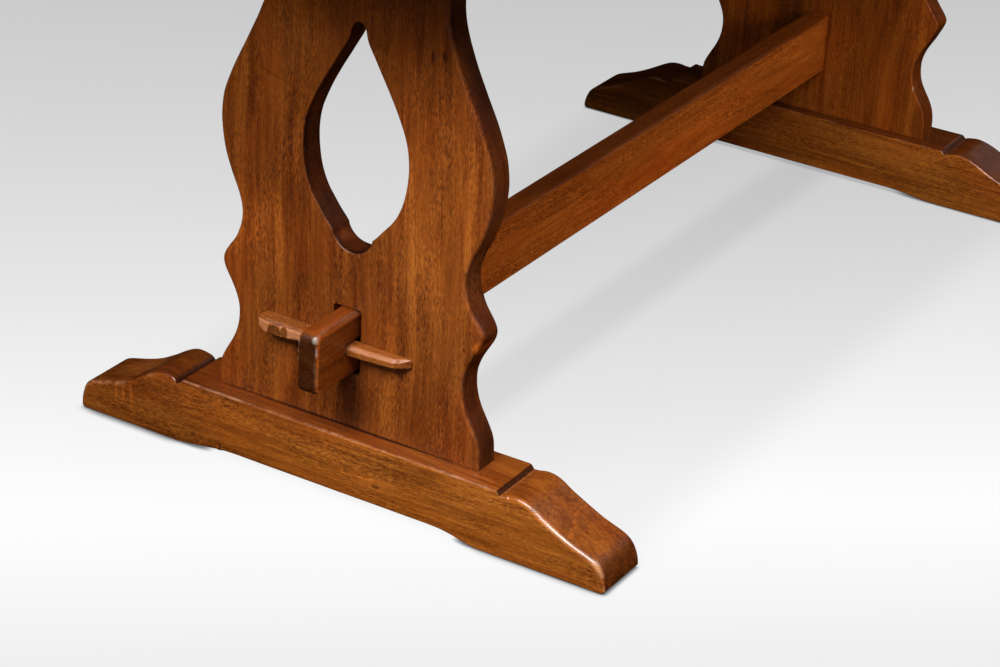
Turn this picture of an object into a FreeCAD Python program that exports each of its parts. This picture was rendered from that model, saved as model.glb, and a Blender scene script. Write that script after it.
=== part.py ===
import FreeCAD, Part
import os

# Trestle dining table, millimetres, +Z up, floor at z = 0.
# X runs along the table, Y across it. The near trestle stands at +X; the far
# trestle is made to the same pattern, turned half a turn about the vertical.

# ---- driving dimensions -------------------------------------------------
TOP_LENGTH = 1680.0          # X
TOP_WIDTH = 760.0            # Y
TABLE_HEIGHT = 760.0         # floor to the upper face of the top
TOP_THICK = 25.0
BOARD_COUNT = 5
BREADBOARD_WIDTH = 90.0      # X size of each breadboard end
TRESTLE_SPACING = 1033.0     # centre to centre of the two feet

FOOT_THICK = 66.0            # X
FOOT_HEIGHT = 72.0
FOOT_FLAT_Y = (184.5, 187.5) # ends of the flat top, at -Y and at +Y
FAR_FLAT_Y = (187.3, 187.5)  # the same on the far foot, before it is turned

PANEL_THICK = 29.0           # X
PANEL_SETBACK = 21.0         # foot outer face to panel outer face
PANEL_TOP_Z = 690.0
TENON_STUB = 40.0            # depth of the stub tenons in foot and bearer
STUB_THICK = 14.0
STUB_Y = (30.0, 120.0)       # inner and outer edge of each stub tenon
GLUE_GAP = 0.15

BEARER_LENGTH = 640.0
BEARER_WIDTH = 60.0

STRETCHER_WIDTH = 26.5       # Y
STRETCHER_TOP_Z = 202.0
STRETCHER_HEIGHT = 74.0
TENON_Y = (-12.7, 10.7)
TENON_Z = (134.2, 199.6)
TENON_END_X = 597.2
MORTISE_Y = (-17.5, 14.6)
MORTISE_Z = (131.5, 200.8)
SLOT_TOP_Z = 171.6
SLOT_EXIT_X = 549.2          # front of the slot on the side where the key comes out

KEY_CLEAR = 0.3              # play between key, panel and slot
KEY_BOTTOM_Z = 158.4         # where the key crosses the tenon
KEY_HEEL_Z = 155.5           # under its thick end
KEY_TOP_Z = (170.7, 168.0)   # at the thick end and at the thin end
KEY_Y = (-96.5, 75.0)

SCREW_R = 2.4
SCREW_Y = (-262.0, -185.0, 185.0, 262.0)
PEG_R = 4.0
PEG_X = 761.0
TONGUE_LEN = 21.0            # board tongue into the breadboard end
EDGE_ROUND = 3.5             # rounded outer arrises of the top
CORNER_ROUND = 8.0           # corners of the top in plan

os.makedirs("parts", exist_ok=True)
V = FreeCAD.Vector

FOOT_X = TRESTLE_SPACING / 2.0
FOOT_OUT = FOOT_X + FOOT_THICK / 2.0
FOOT_IN = FOOT_X - FOOT_THICK / 2.0
PANEL_OUT = FOOT_OUT - PANEL_SETBACK
PANEL_IN = PANEL_OUT - PANEL_THICK
PANEL_MID = (PANEL_OUT + PANEL_IN) / 2.0
TOP_UNDER = TABLE_HEIGHT - TOP_THICK


def box(x0, x1, y0, y1, z0, z1):
    return Part.makeBox(x1 - x0, y1 - y0, z1 - z0, V(x0, y0, z0))


def line(a, b):
    return Part.LineSegment(V(*a), V(*b)).toShape()


def spline(points):
    curve = Part.BSplineCurve()
    curve.interpolate([V(*p) for p in points])
    return curve.toShape()


def yz(x, pts):
    return [(x, p[0], p[1]) for p in pts]


def polyline(points):
    return [line(a, b) for a, b in zip(points, points[1:])]


def prism(edges, x0, x1):
    wire = Part.Wire(edges)
    return Part.Face(wire).extrude(V(x1 - x0, 0, 0))


def turned(shape):
    s = shape.copy()
    s.rotate(V(0, 0, 0), V(0, 0, 1), 180)
    return s


def write(name, shapes):
    if not isinstance(shapes, (list, tuple)):
        shapes = [shapes]
    solids = []
    for s in shapes:
        solids.extend(s.Solids)
    for s in solids:
        if not s.isValid():
            raise RuntimeError(name + " is not valid")
    out = solids[0] if len(solids) == 1 else Part.makeCompound(solids)
    out.exportStep("parts/%s.step" % name)
    print("%-22s solids %d  volume %.0f mm3  box %s" % (
        name, len(solids), sum(s.Volume for s in solids),
        [round(v, 1) for v in (out.BoundBox.XMin, out.BoundBox.YMin, out.BoundBox.ZMin,
                               out.BoundBox.XMax, out.BoundBox.YMax, out.BoundBox.ZMax)]))


# ---- foot ---------------------------------------------------------------
# Each toe: notch, bump, long ogee and a blunt rounded nose. The two ends were
# shaped by hand, so on the near foot the bump at -Y stands a little higher.
TOE_PLUS = [(191.0, 66.7), (195.0, 67.8), (199.0, 69.0), (204.0, 70.2), (209.0, 70.7),
            (214.0, 70.3), (220.0, 68.7), (226.0, 65.9), (232.0, 62.0), (238.0, 58.5),
            (248.0, 53.0), (259.0, 47.4), (270.0, 42.5), (281.0, 38.6), (291.0, 35.0),
            (298.6, 31.2), (304.4, 26.0), (308.4, 19.2), (310.7, 11.0), (311.4, 4.0)]
TOE_MINUS = [(191.0, 65.8), (192.6, 68.2), (195.0, 70.6), (198.5, 72.2), (203.0, 73.0),
             (208.0, 73.2), (213.0, 72.6), (219.0, 70.4), (226.0, 66.6), (232.0, 62.8),
             (238.0, 58.8), (248.0, 53.0), (257.0, 48.3), (266.0, 44.6), (276.0, 41.4),
             (286.0, 38.6), (295.0, 36.2), (302.0, 33.6), (307.0, 30.2), (310.6, 25.4),
             (312.8, 19.0), (313.8, 12.0), (313.5, 5.0)]
# The far foot before its half turn: a fuller, longer toe and a lower, softer one.
FAR_TOE_MINUS = [(191.2, 67.4), (194.5, 69.1), (198.0, 70.5), (203.0, 71.8), (208.5, 72.4),
                 (214.0, 72.0), (220.0, 70.7), (226.0, 68.8), (232.0, 66.4), (238.0, 63.6),
                 (248.0, 58.5), (258.0, 54.2), (268.0, 50.4), (279.0, 46.2), (289.0, 41.8),
                 (297.0, 36.8), (303.5, 30.0), (308.0, 21.5), (310.5, 12.0), (311.2, 4.5)]
FAR_TOE_PLUS = [(191.0, 64.6), (195.0, 65.2), (199.0, 66.0), (204.0, 66.9), (209.0, 67.4),
                (215.0, 67.2), (221.0, 66.2), (227.0, 64.0), (233.0, 61.0), (239.0, 57.6),
                (249.0, 52.0), (260.0, 46.2), (271.0, 41.2), (282.0, 37.2), (292.0, 33.8),
                (299.5, 30.2), (305.5, 25.0), (309.6, 18.0), (312.0, 10.5), (312.8, 4.0)]
ARCH_PLUS = [(172.0, 0.0), (165.0, 0.4), (158.0, 1.4), (150.0, 3.1), (143.0, 4.8),
             (135.0, 6.3), (125.0, 7.5), (112.0, 8.0)]
ARCH_MINUS = [(200.0, 0.0), (190.0, 0.4), (180.0, 1.2), (170.0, 2.5), (160.0, 4.0),
              (150.0, 5.5), (140.0, 6.8), (130.0, 7.7), (120.0, 8.0)]


def make_foot(plus_toe, minus_toe, flat):
    x = FOOT_IN
    plus = plus_toe
    minus = [(-y, z) for y, z in minus_toe]
    arch_m = [(-y, z) for y, z in reversed(ARCH_MINUS)]
    tip_p, tip_m = plus[-1][0], -minus[-1][0]
    edges = []
    edges += polyline(yz(x, [(-flat[0], FOOT_HEIGHT), (flat[1], FOOT_HEIGHT), plus[0]]))
    edges.append(spline(yz(x, plus)))
    edges += polyline(yz(x, [plus[-1], (tip_p - 0.9, 1.4), (tip_p - 3.5, 0.0), ARCH_PLUS[0]]))
    edges.append(spline(yz(x, ARCH_PLUS)))
    edges.append(line((x,) + ARCH_PLUS[-1], (x,) + arch_m[0]))
    edges.append(spline(yz(x, arch_m)))
    edges += polyline(yz(x, [arch_m[-1], (3.5 - tip_m, 0.0), (0.9 - tip_m, 1.4), minus[-1]]))
    edges.append(spline(yz(x, list(reversed(minus)))))
    edges.append(line((x,) + minus[0], (x, -flat[0], FOOT_HEIGHT)))
    foot = prism(edges, FOOT_IN, FOOT_OUT)
    g = GLUE_GAP
    for s in (-1, 1):
        y0, y1 = sorted((s * STUB_Y[0], s * STUB_Y[1]))
        foot = foot.cut(box(PANEL_MID - STUB_THICK / 2 - g, PANEL_MID + STUB_THICK / 2 + g,
                            y0 - g, y1 + g, FOOT_HEIGHT - TENON_STUB - 1.0, FOOT_HEIGHT + 5))
    return foot


# ---- end panel ----------------------------------------------------------
# Half width of the panel against height: straight base, hollow, pointed bump,
# hollow, wide bulge, narrow neck, and a flare up to the bearer.
PANEL_HALF = [(72.0, 154.6), (82.0, 154.5), (90.0, 154.1), (95.0, 153.3), (100.0, 151.9),
              (105.0, 149.7), (110.0, 147.1), (115.0, 144.4), (120.0, 141.5), (125.0, 138.8),
              (130.0, 136.5), (135.0, 134.6), (140.0, 133.2), (145.0, 132.1), (150.0, 131.5),
              (155.0, 131.2), (160.0, 131.3), (165.0, 132.0), (170.0, 133.3), (175.0, 135.1),
              (180.0, 137.3), (185.0, 139.9), (190.0, 142.8), (195.0, 145.8), (200.0, 148.5),
              (205.0, 150.4), (209.5, 151.1), (214.0, 150.5), (219.0, 148.4), (225.0, 144.7),
              (230.0, 141.1), (235.0, 137.9), (240.0, 135.4), (245.0, 133.5), (250.0, 131.7),
              (255.0, 130.4), (260.0, 129.6), (265.0, 129.3), (270.0, 129.6), (275.0, 130.4),
              (280.0, 131.7), (285.0, 133.4), (290.0, 135.5), (295.0, 137.8), (300.0, 140.1),
              (305.0, 142.4), (310.0, 144.4), (315.0, 146.3), (320.0, 148.1), (325.0, 149.7),
              (335.0, 152.1), (345.0, 153.8), (355.0, 154.8), (362.0, 155.0), (370.0, 154.5),
              (380.0, 153.2), (390.0, 151.1), (400.0, 147.7), (410.0, 144.0), (420.0, 139.8),
              (430.0, 134.9), (440.0, 129.8), (450.0, 124.9), (460.0, 120.1), (470.0, 115.4),
              (480.0, 111.2), (490.0, 107.3), (500.0, 103.8), (510.0, 101.1), (520.0, 99.4),
              (530.0, 98.9), (540.0, 99.6), (550.0, 101.5), (560.0, 104.4), (572.0, 108.9),
              (585.0, 114.5), (600.0, 121.3), (615.0, 128.1), (630.0, 134.5), (645.0, 140.5),
              (658.0, 145.5), (670.0, 149.7), (680.0, 152.7), (690.0, 154.6)]
# The far panel was cut with a fuller base and a larger pointed bump on its +Y edge.
BIG_BUMP = [(72.0, 154.6), (82.0, 154.6), (90.0, 154.5), (95.0, 154.0), (100.0, 153.0),
            (105.0, 151.6), (110.0, 149.6), (115.0, 146.9), (120.0, 143.8), (125.0, 140.5),
            (130.0, 137.5), (135.0, 135.0)] + [
    (z, w) for z, w in PANEL_HALF if 138.0 < z < 199.0] + [
    (200.0, 148.3), (205.0, 150.8), (210.0, 153.2), (215.0, 155.3), (219.0, 156.5), (222.0, 156.6),
    (225.5, 155.3), (230.0, 152.4), (235.0, 148.6), (241.0, 144.1), (247.0, 139.6), (252.0, 136.2),
    (257.0, 133.2), (262.0, 131.2), (267.0, 130.2), (272.0, 130.1)] + [
    (z, w) for z, w in PANEL_HALF if z > 274.0]
# Teardrop as (y, z), up its +Y side and down its -Y side, then the round lobe
# below it; the two meet at a sharp corner on the right and a soft one on the left.
CUT_UP = [(24.0, 278.0), (26.9, 281.0), (30.0, 284.5), (33.0, 288.2), (36.3, 292.0),
          (39.7, 295.8), (43.4, 300.0), (47.0, 305.0), (49.5, 309.0), (51.6, 313.0),
          (54.2, 319.0), (56.6, 326.0), (58.4, 333.0), (59.7, 340.0), (60.8, 348.0),
          (61.3, 356.0), (61.4, 363.0), (60.9, 371.0), (60.0, 378.0), (58.8, 384.0),
          (57.1, 390.0), (54.5, 397.0), (51.5, 404.0), (48.4, 411.0), (44.5, 419.0),
          (40.2, 427.0), (35.2, 436.0), (30.5, 444.0), (25.8, 452.0), (21.2, 460.0),
          (17.1, 467.0), (13.6, 473.0), (11.8, 477.0), (10.7, 480.5), (9.9, 484.0),
          (9.2, 487.0), (8.0, 489.5), (6.2, 491.6), (3.7, 493.0), (1.8, 493.6)]
CUT_DOWN = [(-0.1, 493.0), (-2.7, 491.6), (-4.6, 489.5), (-5.8, 487.0), (-6.6, 484.0),
            (-7.3, 480.5), (-8.4, 477.0), (-10.0, 473.0), (-13.5, 467.0), (-17.6, 460.0),
            (-22.2, 452.0), (-26.9, 444.0), (-31.6, 436.0), (-36.6, 427.0), (-40.9, 419.0),
            (-44.8, 411.0), (-47.9, 404.0), (-50.9, 397.0), (-53.6, 390.0), (-55.3, 384.0),
            (-56.5, 378.0), (-57.4, 371.0), (-57.8, 363.0), (-57.7, 356.0), (-57.2, 348.0),
            (-56.1, 340.0), (-54.8, 333.0), (-53.0, 326.0), (-50.6, 319.0), (-48.0, 313.0),
            (-45.9, 309.0), (-43.4, 305.0), (-40.0, 300.4), (-36.3, 295.4), (-32.6, 290.6),
            (-29.2, 286.5), (-26.0, 282.9), (-23.4, 279.8), (-21.6, 276.9), (-20.4, 273.9)]
LOBE = [(-20.4, 273.9), (-17.8, 269.6), (-14.4, 265.9), (-10.2, 262.9), (-4.4, 260.6),
        (2.0, 259.7), (7.6, 260.2), (13.6, 262.7), (18.7, 266.8), (22.2, 272.0), (24.0, 278.0)]


def make_panel(minus_half):
    x = PANEL_IN
    right = [(w, z) for z, w in PANEL_HALF]
    left = [(-w, z) for z, w in reversed(minus_half)]
    edges = [spline(yz(x, right)), line((x,) + right[-1], (x,) + left[0]),
             spline(yz(x, left)), line((x,) + left[-1], (x,) + right[0])]
    panel = prism(edges, PANEL_IN, PANEL_OUT)
    # teardrop with the round lobe below it
    drop = [spline(yz(PANEL_IN - 2, CUT_UP + CUT_DOWN)), spline(yz(PANEL_IN - 2, LOBE))]
    panel = panel.cut(prism(drop, PANEL_IN - 2, PANEL_OUT + 2))
    # through mortise for the stretcher tenon
    panel = panel.cut(box(PANEL_IN - 2, PANEL_OUT + 2, MORTISE_Y[0], MORTISE_Y[1],
                          MORTISE_Z[0], MORTISE_Z[1]))
    # twin stub tenons, below into the foot and above into the bearer
    for s in (-1, 1):
        y0, y1 = sorted((s * STUB_Y[0], s * STUB_Y[1]))
        x0, x1 = PANEL_MID - STUB_THICK / 2, PANEL_MID + STUB_THICK / 2
        panel = panel.fuse(box(x0, x1, y0, y1, FOOT_HEIGHT - TENON_STUB, FOOT_HEIGHT + 1))
        panel = panel.fuse(box(x0, x1, y0, y1, PANEL_TOP_Z - 1, PANEL_TOP_Z + TENON_STUB - 10))
    return panel.removeSplitter()


# ---- top bearer ---------------------------------------------------------
def make_bearer():
    h = BEARER_LENGTH / 2.0
    x0, x1 = FOOT_X - BEARER_WIDTH / 2, FOOT_X + BEARER_WIDTH / 2
    end = [(h, TOP_UNDER), (h, 716.0), (316.0, 711.0), (308.0, 706.5), (299.0, 702.0),
           (291.0, 696.0), (286.0, 690.0)]
    pts = [(-h, TOP_UNDER)] + end + [(-y, z) for y, z in reversed(end)]
    bearer = prism(polyline(yz(x0, pts)), x0, x1)
    g = GLUE_GAP
    for s in (-1, 1):
        y0, y1 = sorted((s * STUB_Y[0], s * STUB_Y[1]))
        bearer = bearer.cut(box(PANEL_MID - STUB_THICK / 2 - g, PANEL_MID + STUB_THICK / 2 + g,
                                y0 - g, y1 + g, PANEL_TOP_Z - 5, PANEL_TOP_Z + TENON_STUB - 9))
    for y in SCREW_Y:
        bearer = bearer.cut(Part.makeCylinder(SCREW_R + 0.2, 80, V(FOOT_X, y, 680)))
        bearer = bearer.cut(Part.makeCylinder(5.5, 20, V(FOOT_X, y, PANEL_TOP_Z - 10)))
    return bearer


def make_screws():
    out = []
    head = PANEL_TOP_Z + 10.0
    for y in SCREW_Y:
        profile = [(0, head - 3.4), (4.6, head - 3.4), (4.6, head), (SCREW_R, head),
                   (SCREW_R, TOP_UNDER + 13), (0.4, TOP_UNDER + 18), (0, TOP_UNDER + 18)]
        wire = Part.Wire(polyline([(FOOT_X + r, y, z) for r, z in profile] + [(FOOT_X, y, head - 3.4)]))
        screw = Part.Face(wire).revolve(V(FOOT_X, y, 0), V(0, 0, 1), 360)
        screw = screw.cut(box(FOOT_X - 0.5, FOOT_X + 0.5, y - 5, y + 5, head - 4, head - 2.2))
        out.append(screw)
    return out


# ---- stretcher ----------------------------------------------------------
def key_front(y):
    # plan line of the front edge of the key where it crosses the tenon
    return 545.6 + (10.3 - y) * 0.03


def make_stretcher():
    w = STRETCHER_WIDTH / 2.0
    body = box(-PANEL_IN, PANEL_IN, -w, w, STRETCHER_TOP_Z - STRETCHER_HEIGHT, STRETCHER_TOP_Z)
    tenon = box(PANEL_IN - 1, TENON_END_X, TENON_Y[0], TENON_Y[1], TENON_Z[0], TENON_Z[1])
    # worn, rounded end
    ends = [e for e in tenon.Edges if abs(e.BoundBox.XMin - TENON_END_X) < 0.01
            and abs(e.BoundBox.XMax - TENON_END_X) < 0.01]
    top = [e for e in ends if e.BoundBox.ZMin > TENON_Z[1] - 0.01]
    tenon = tenon.makeFillet(6.0, top)
    # slot for the key: its back runs inside the panel so the key draws on the panel
    z0, z1 = KEY_BOTTOM_Z - 0.5, SLOT_TOP_Z
    ya, yb = TENON_Y[0] - 1, TENON_Y[1] + 1
    slot_pts = [(520.0, ya, z0), (key_front(ya) + KEY_CLEAR, ya, z0), (SLOT_EXIT_X, yb, z0),
                (520.0, yb, z0), (520.0, ya, z0)]
    slot = Part.Face(Part.Wire(polyline(slot_pts))).extrude(V(0, 0, z1 - z0))
    tenon = tenon.cut(slot)
    return body.fuse(tenon).fuse(turned(tenon)).removeSplitter()


# ---- tusk key -----------------------------------------------------------
def make_key():
    back = PANEL_OUT + KEY_CLEAR
    plan = [(back, -92.5), (536.0, -95.8), (541.0, KEY_Y[0]), (545.6, -93.5), (547.4, -86.0),
            (547.1, -44.0), (key_front(-8.0), -8.0), (key_front(10.3), 10.3), (543.4, 44.0),
            (542.0, 59.5), (541.0, 62.0), (531.2, 73.6), (529.8, KEY_Y[1]), (back, KEY_Y[1])]
    pts = [(x, y, KEY_HEEL_Z - 5) for x, y in plan]
    key = Part.Face(Part.Wire(polyline(pts + [pts[0]]))).extrude(V(0, 0, 30.0))
    # side view: the upper face falls towards the thin end, the heel hangs lower
    za, zb = KEY_TOP_Z
    ya, yb = KEY_Y[0] - 5, KEY_Y[1] + 5
    side = [(ya, za + 0.1), (ya, KEY_HEEL_Z), (-60.0, KEY_HEEL_Z), (-40.0, KEY_BOTTOM_Z),
            (yb, KEY_BOTTOM_Z), (yb, zb - 0.1), (ya, za + 0.1)]
    return key.common(Part.Face(Part.Wire(polyline(yz(520, side)))).extrude(V(40, 0, 0)))


# ---- table top ----------------------------------------------------------
GROOVE_Z = (TOP_UNDER + 8.0, TOP_UNDER + 17.0)     # breadboard groove
TNG_Z = (TOP_UNDER + 9.0, TOP_UNDER + 16.0)        # board to board tongue
BOARD_END = TOP_LENGTH / 2 - BREADBOARD_WIDTH
BOARD_W = TOP_WIDTH / BOARD_COUNT


def peg_rows():
    return [-TOP_WIDTH / 2 + BOARD_W * (i + 0.5) for i in range(BOARD_COUNT)]


def make_board(i):
    y0 = -TOP_WIDTH / 2 + i * BOARD_W
    y1 = y0 + BOARD_W
    board = box(-BOARD_END, BOARD_END, y0, y1, TOP_UNDER, TABLE_HEIGHT)
    if i in (0, BOARD_COUNT - 1):
        outer = y0 if i == 0 else y1
        board = board.makeFillet(EDGE_ROUND, [e for e in board.Edges if e.BoundBox.XLength > 100
                                              and abs(e.BoundBox.YMin - outer) < 0.01])
    if i < BOARD_COUNT - 1:
        board = board.fuse(box(-BOARD_END, BOARD_END, y1 - 1, y1 + 8.0, TNG_Z[0] + 0.1, TNG_Z[1] - 0.1))
    if i > 0:
        board = board.cut(box(-BOARD_END - 1, BOARD_END + 1, y0 - 1, y0 + 8.6, TNG_Z[0], TNG_Z[1]))
    # end tongues, stopped short of the outer edges of the top
    ya = y0 + (18.0 if i == 0 else 9.0)
    yb = y1 - (18.0 if i == BOARD_COUNT - 1 else 0.0)
    for s in (-1, 1):
        x0, x1 = sorted((s * (BOARD_END - 1), s * (BOARD_END + TONGUE_LEN)))
        board = board.fuse(box(x0, x1, ya, yb, GROOVE_Z[0] + 0.1, GROOVE_Z[1] - 0.1))
        board = board.cut(Part.makeCylinder(PEG_R + 0.05, 60, V(s * PEG_X, (y0 + y1) / 2, 720)))
        for y in SCREW_Y:
            if y0 < y < y1:
                board = board.cut(Part.makeCylinder(SCREW_R + 0.05, 19.0, V(s * FOOT_X, y, TOP_UNDER - 0.5)))
    return board.removeSplitter()


def make_breadboard():
    w = TOP_WIDTH / 2
    bb = box(BOARD_END, TOP_LENGTH / 2, -w, w, TOP_UNDER, TABLE_HEIGHT)
    bb = bb.makeFillet(CORNER_ROUND, [e for e in bb.Edges if e.BoundBox.ZLength > 10
                                      and e.BoundBox.XMin > BOARD_END + 1])
    # the arris all round the three outer edges, above and below
    bb = bb.makeFillet(EDGE_ROUND, [e for e in bb.Edges if e.BoundBox.ZLength < 0.01
                                    and e.BoundBox.XMax > BOARD_END + 1])
    bb = bb.cut(box(BOARD_END - 1, BOARD_END + TONGUE_LEN + 1, -w + 16, w - 16, GROOVE_Z[0], GROOVE_Z[1]))
    for y in peg_rows():
        bb = bb.cut(Part.makeCylinder(PEG_R + 0.05, 60, V(PEG_X, y, 720)))
    return bb


def make_pegs():
    return [Part.makeCylinder(PEG_R, TOP_THICK - 1.0, V(PEG_X, y, TOP_UNDER + 1.0)) for y in peg_rows()]


# ---- write every node ---------------------------------------------------
write("foot_near", make_foot(TOE_PLUS, TOE_MINUS, FOOT_FLAT_Y))
write("foot_far", turned(make_foot(FAR_TOE_PLUS, FAR_TOE_MINUS, FAR_FLAT_Y)))
write("end_panel_near", make_panel(PANEL_HALF))
write("end_panel_far", turned(make_panel(BIG_BUMP)))
for name, shape in (("top_bearer", make_bearer()), ("tusk_key", make_key()),
                    ("breadboard_end", make_breadboard())):
    write(name + "_near", shape)
    write(name + "_far", turned(shape))
write("stretcher", make_stretcher())
screws = make_screws()
write("bearer_screws_near", screws)
write("bearer_screws_far", [turned(s) for s in screws])
pegs = make_pegs()
write("breadboard_pegs_near", pegs)
write("breadboard_pegs_far", [turned(s) for s in pegs])
for i in range(BOARD_COUNT):
    write("top_board_%d" % (i + 1), make_board(i))
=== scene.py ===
import bpy, math
import numpy as np
from mathutils import Vector, Matrix, noise
from mathutils.geometry import tessellate_polygon


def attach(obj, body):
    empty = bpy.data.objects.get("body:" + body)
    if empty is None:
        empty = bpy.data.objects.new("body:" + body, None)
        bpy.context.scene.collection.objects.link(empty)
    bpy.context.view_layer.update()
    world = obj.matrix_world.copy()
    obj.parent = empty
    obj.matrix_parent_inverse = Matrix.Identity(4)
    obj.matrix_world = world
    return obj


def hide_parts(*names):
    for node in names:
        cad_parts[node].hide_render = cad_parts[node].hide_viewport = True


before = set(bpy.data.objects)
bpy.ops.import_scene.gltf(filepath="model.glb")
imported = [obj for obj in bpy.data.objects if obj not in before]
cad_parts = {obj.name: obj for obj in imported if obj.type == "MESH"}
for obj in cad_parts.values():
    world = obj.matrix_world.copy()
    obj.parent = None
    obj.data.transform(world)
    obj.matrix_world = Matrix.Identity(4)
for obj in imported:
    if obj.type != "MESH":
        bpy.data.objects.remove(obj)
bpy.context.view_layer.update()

MM = 0.001
scene = bpy.context.scene

# ------------------------------------------------------------------ dimensions (mm), as in the CAD model
FOOT_IN, FOOT_OUT = 483.5, 549.5
FOOT_TOP, FOOT_FLAT, FAR_FLAT = 72.0, (184.5, 187.5), (187.3, 187.5)
PANEL_IN, PANEL_OUT, PANEL_TOP = 499.5, 528.5, 690.0
STUB_X = (507.0, 521.0)
TENON_Y, TENON_Z, TENON_END = (-12.7, 10.7), (134.2, 199.6), 597.2
MORTISE_Y, MORTISE_Z = (-17.5, 14.6), (131.5, 200.8)
SLOT_Z, SLOT_X = (157.9, 171.6), (520.0, 546.6, 549.2)
STR_W, STR_Z = 13.25, (128.0, 202.0)
KEY_BACK, KEY_Z0, KEY_HEEL, KEY_TOP, KEY_Y = 528.8, 158.4, 155.5, (170.7, 168.0), (-96.5, 75.0)

TOE_PLUS = [(191.0, 66.7), (195.0, 67.8), (199.0, 69.0), (204.0, 70.2), (209.0, 70.7),
            (214.0, 70.3), (220.0, 68.7), (226.0, 65.9), (232.0, 62.0), (238.0, 58.5),
            (248.0, 53.0), (259.0, 47.4), (270.0, 42.5), (281.0, 38.6), (291.0, 35.0),
            (298.6, 31.2), (304.4, 26.0), (308.4, 19.2), (310.7, 11.0), (311.4, 4.0)]
TOE_MINUS = [(191.0, 65.8), (192.6, 68.2), (195.0, 70.6), (198.5, 72.2), (203.0, 73.0),
             (208.0, 73.2), (213.0, 72.6), (219.0, 70.4), (226.0, 66.6), (232.0, 62.8),
             (238.0, 58.8), (248.0, 53.0), (257.0, 48.3), (266.0, 44.6), (276.0, 41.4),
             (286.0, 38.6), (295.0, 36.2), (302.0, 33.6), (307.0, 30.2), (310.6, 25.4),
             (312.8, 19.0), (313.8, 12.0), (313.5, 5.0)]
FAR_TOE_MINUS = [(191.2, 67.4), (194.5, 69.1), (198.0, 70.5), (203.0, 71.8), (208.5, 72.4),
                 (214.0, 72.0), (220.0, 70.7), (226.0, 68.8), (232.0, 66.4), (238.0, 63.6),
                 (248.0, 58.5), (258.0, 54.2), (268.0, 50.4), (279.0, 46.2), (289.0, 41.8),
                 (297.0, 36.8), (303.5, 30.0), (308.0, 21.5), (310.5, 12.0), (311.2, 4.5)]
FAR_TOE_PLUS = [(191.0, 64.6), (195.0, 65.2), (199.0, 66.0), (204.0, 66.9), (209.0, 67.4),
                (215.0, 67.2), (221.0, 66.2), (227.0, 64.0), (233.0, 61.0), (239.0, 57.6),
                (249.0, 52.0), (260.0, 46.2), (271.0, 41.2), (282.0, 37.2), (292.0, 33.8),
                (299.5, 30.2), (305.5, 25.0), (309.6, 18.0), (312.0, 10.5), (312.8, 4.0)]
ARCH_PLUS = [(172.0, 0.0), (165.0, 0.4), (158.0, 1.4), (150.0, 3.1), (143.0, 4.8),
             (135.0, 6.3), (125.0, 7.5), (112.0, 8.0)]
ARCH_MINUS = [(200.0, 0.0), (190.0, 0.4), (180.0, 1.2), (170.0, 2.5), (160.0, 4.0),
              (150.0, 5.5), (140.0, 6.8), (130.0, 7.7), (120.0, 8.0)]
FAR_ARCH_PLUS = [(y, 0.62 * z) for y, z in ARCH_PLUS]
FAR_ARCH_MINUS = [(182.0, 0.0), (174.0, 0.3), (166.0, 0.9), (158.0, 1.8), (150.0, 2.9),
                  (142.0, 3.9), (134.0, 4.6), (126.0, 4.9), (118.0, 5.0)]
PANEL_HALF = [(72.0, 154.6), (82.0, 154.5), (90.0, 154.1), (95.0, 153.3), (100.0, 151.9),
              (105.0, 149.7), (110.0, 147.1), (115.0, 144.4), (120.0, 141.5), (125.0, 138.8),
              (130.0, 136.5), (135.0, 134.6), (140.0, 133.2), (145.0, 132.1), (150.0, 131.5),
              (155.0, 131.2), (160.0, 131.3), (165.0, 132.0), (170.0, 133.3), (175.0, 135.1),
              (180.0, 137.3), (185.0, 139.9), (190.0, 142.8), (195.0, 145.8), (200.0, 148.5),
              (205.0, 150.4), (209.5, 151.1), (214.0, 150.5), (219.0, 148.4), (225.0, 144.7),
              (230.0, 141.1), (235.0, 137.9), (240.0, 135.4), (245.0, 133.5), (250.0, 131.7),
              (255.0, 130.4), (260.0, 129.6), (265.0, 129.3), (270.0, 129.6), (275.0, 130.4),
              (280.0, 131.7), (285.0, 133.4), (290.0, 135.5), (295.0, 137.8), (300.0, 140.1),
              (305.0, 142.4), (310.0, 144.4), (315.0, 146.3), (320.0, 148.1), (325.0, 149.7),
              (335.0, 152.1), (345.0, 153.8), (355.0, 154.8), (362.0, 155.0), (370.0, 154.5),
              (380.0, 153.2), (390.0, 151.1), (400.0, 147.7), (410.0, 144.0), (420.0, 139.8),
              (430.0, 134.9), (440.0, 129.8), (450.0, 124.9), (460.0, 120.1), (470.0, 115.4),
              (480.0, 111.2), (490.0, 107.3), (500.0, 103.8), (510.0, 101.1), (520.0, 99.4),
              (530.0, 98.9), (540.0, 99.6), (550.0, 101.5), (560.0, 104.4), (572.0, 108.9),
              (585.0, 114.5), (600.0, 121.3), (615.0, 128.1), (630.0, 134.5), (645.0, 140.5),
              (658.0, 145.5), (670.0, 149.7), (680.0, 152.7), (690.0, 154.6)]
BIG_BUMP = [(72.0, 154.6), (82.0, 154.6), (90.0, 154.5), (95.0, 154.0), (100.0, 153.0),
            (105.0, 151.6), (110.0, 149.6), (115.0, 146.9), (120.0, 143.8), (125.0, 140.5),
            (130.0, 137.5), (135.0, 135.0)] + [
    (z, w) for z, w in PANEL_HALF if 138.0 < z < 199.0] + [
    (200.0, 148.3), (205.0, 150.8), (210.0, 153.2), (215.0, 155.3), (219.0, 156.5), (222.0, 156.6),
    (225.5, 155.3), (230.0, 152.4), (235.0, 148.6), (241.0, 144.1), (247.0, 139.6), (252.0, 136.2),
    (257.0, 133.2), (262.0, 131.2), (267.0, 130.2), (272.0, 130.1)] + [
    (z, w) for z, w in PANEL_HALF if z > 274.0]
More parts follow.
